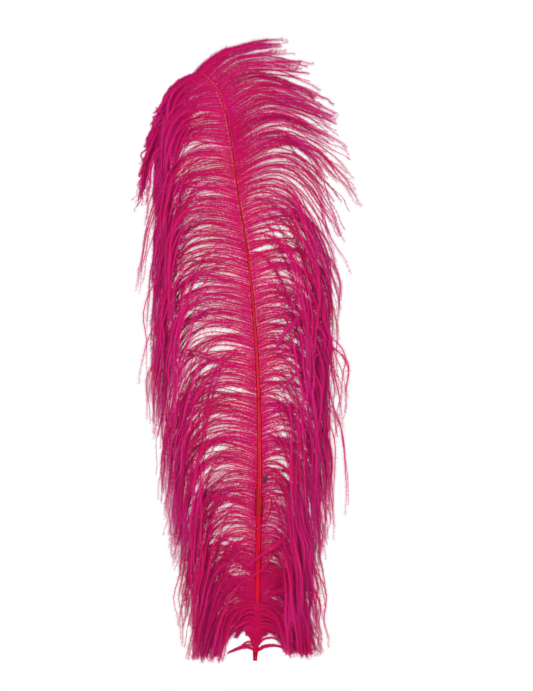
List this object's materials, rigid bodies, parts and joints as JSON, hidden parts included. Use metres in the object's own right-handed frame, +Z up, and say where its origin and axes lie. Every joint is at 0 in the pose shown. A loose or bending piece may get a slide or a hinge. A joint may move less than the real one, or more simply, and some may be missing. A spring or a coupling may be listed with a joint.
{
  "type": "ostrich plume",
  "caption": "Tall dyed ostrich wing plume with a bare quill, a curved shaft that flexes, and arching locks of soft barbs.",
  "frame": {"origin": "middle of the flat cut end of the quill", "axes": "+Z up along the plume, -Y out of the glossy front of the shaft, the tip leans towards -X"},
  "size_m": [0.2448, 0.0514, 0.6963],
  "materials": {
    "quill": "dyed horn, glossy, cut end dark inside",
    "membrane": "dry papery pith, faintly dyed",
    "shaft": "dyed horn, glossy, fine lengthwise grain",
    "splint": "black lacquer, satin",
    "tape": "matt crimson florist tape, wound in overlapping turns",
    "barbs": "soft dyed barbs with fine barbules, crimson to magenta",
    "down": "dense dyed down, deep crimson"
  },
  "bodies": {
    "quill_and_foot": {"quill": "quill", "quill_membrane": "membrane", "rachis_lower": "shaft", "splint_rod": "splint", "binding_tape": "tape", "front_down_tuft": "down", "back_down_tuft": "down", "left_lock_01": "barbs", "left_lock_02": "barbs", "left_lock_03": "barbs", "left_lock_04": "barbs", "left_lock_05": "barbs", "left_lock_06": "barbs", "right_lock_01": "barbs", "right_lock_02": "barbs", "right_lock_03": "barbs", "right_lock_04": "barbs", "right_lock_05": "barbs", "right_lock_06": "barbs"},
    "middle_shaft": {"rachis_middle": "shaft", "left_lock_07": "barbs", "left_lock_08": "barbs", "left_lock_09": "barbs", "left_lock_10": "barbs", "left_lock_11": "barbs", "left_lock_12": "barbs", "right_lock_07": "barbs", "right_lock_08": "barbs", "right_lock_09": "barbs", "right_lock_10": "barbs", "right_lock_11": "barbs", "right_lock_12": "barbs"},
    "upper_shaft": {"rachis_upper": "shaft", "left_lock_13": "barbs", "left_lock_14": "barbs", "left_lock_15": "barbs", "left_lock_16": "barbs", "left_lock_17": "barbs", "left_lock_18": "barbs", "right_lock_13": "barbs", "right_lock_14": "barbs", "right_lock_15": "barbs", "right_lock_16": "barbs", "right_lock_17": "barbs", "right_lock_18": "barbs"},
    "tip": {"rachis_tip": "shaft", "left_lock_19": "barbs", "left_lock_20": "barbs", "left_lock_21": "barbs", "left_lock_22": "barbs", "right_lock_19": "barbs", "right_lock_20": "barbs", "right_lock_21": "barbs", "right_lock_22": "barbs", "crown_lock_1": "barbs", "crown_lock_2": "barbs", "curl_lock_1": "barbs", "curl_lock_2": "barbs", "curl_lock_3": "barbs"}
  },
  "joints": [
    {"name": "lower_flex", "type": "hinge", "parent": "quill_and_foot", "child": "middle_shaft", "pos_m": [0.005, -0.0052, 0.212], "axis": [1, 0, 0], "range_deg": [-8, 12], "stiffness_Nm_per_rad": 0.6},
    {"name": "middle_flex", "type": "hinge", "parent": "middle_shaft", "child": "upper_shaft", "pos_m": [-0.0005, -0.0069, 0.38], "axis": [1, 0, 0], "range_deg": [-12, 20], "stiffness_Nm_per_rad": 0.25},
    {"name": "tip_flex", "type": "hinge", "parent": "upper_shaft", "child": "tip", "pos_m": [-0.0219, 0.0028, 0.548], "axis": [1, 0, 0], "range_deg": [-15, 30], "stiffness_Nm_per_rad": 0.08}
  ]
}
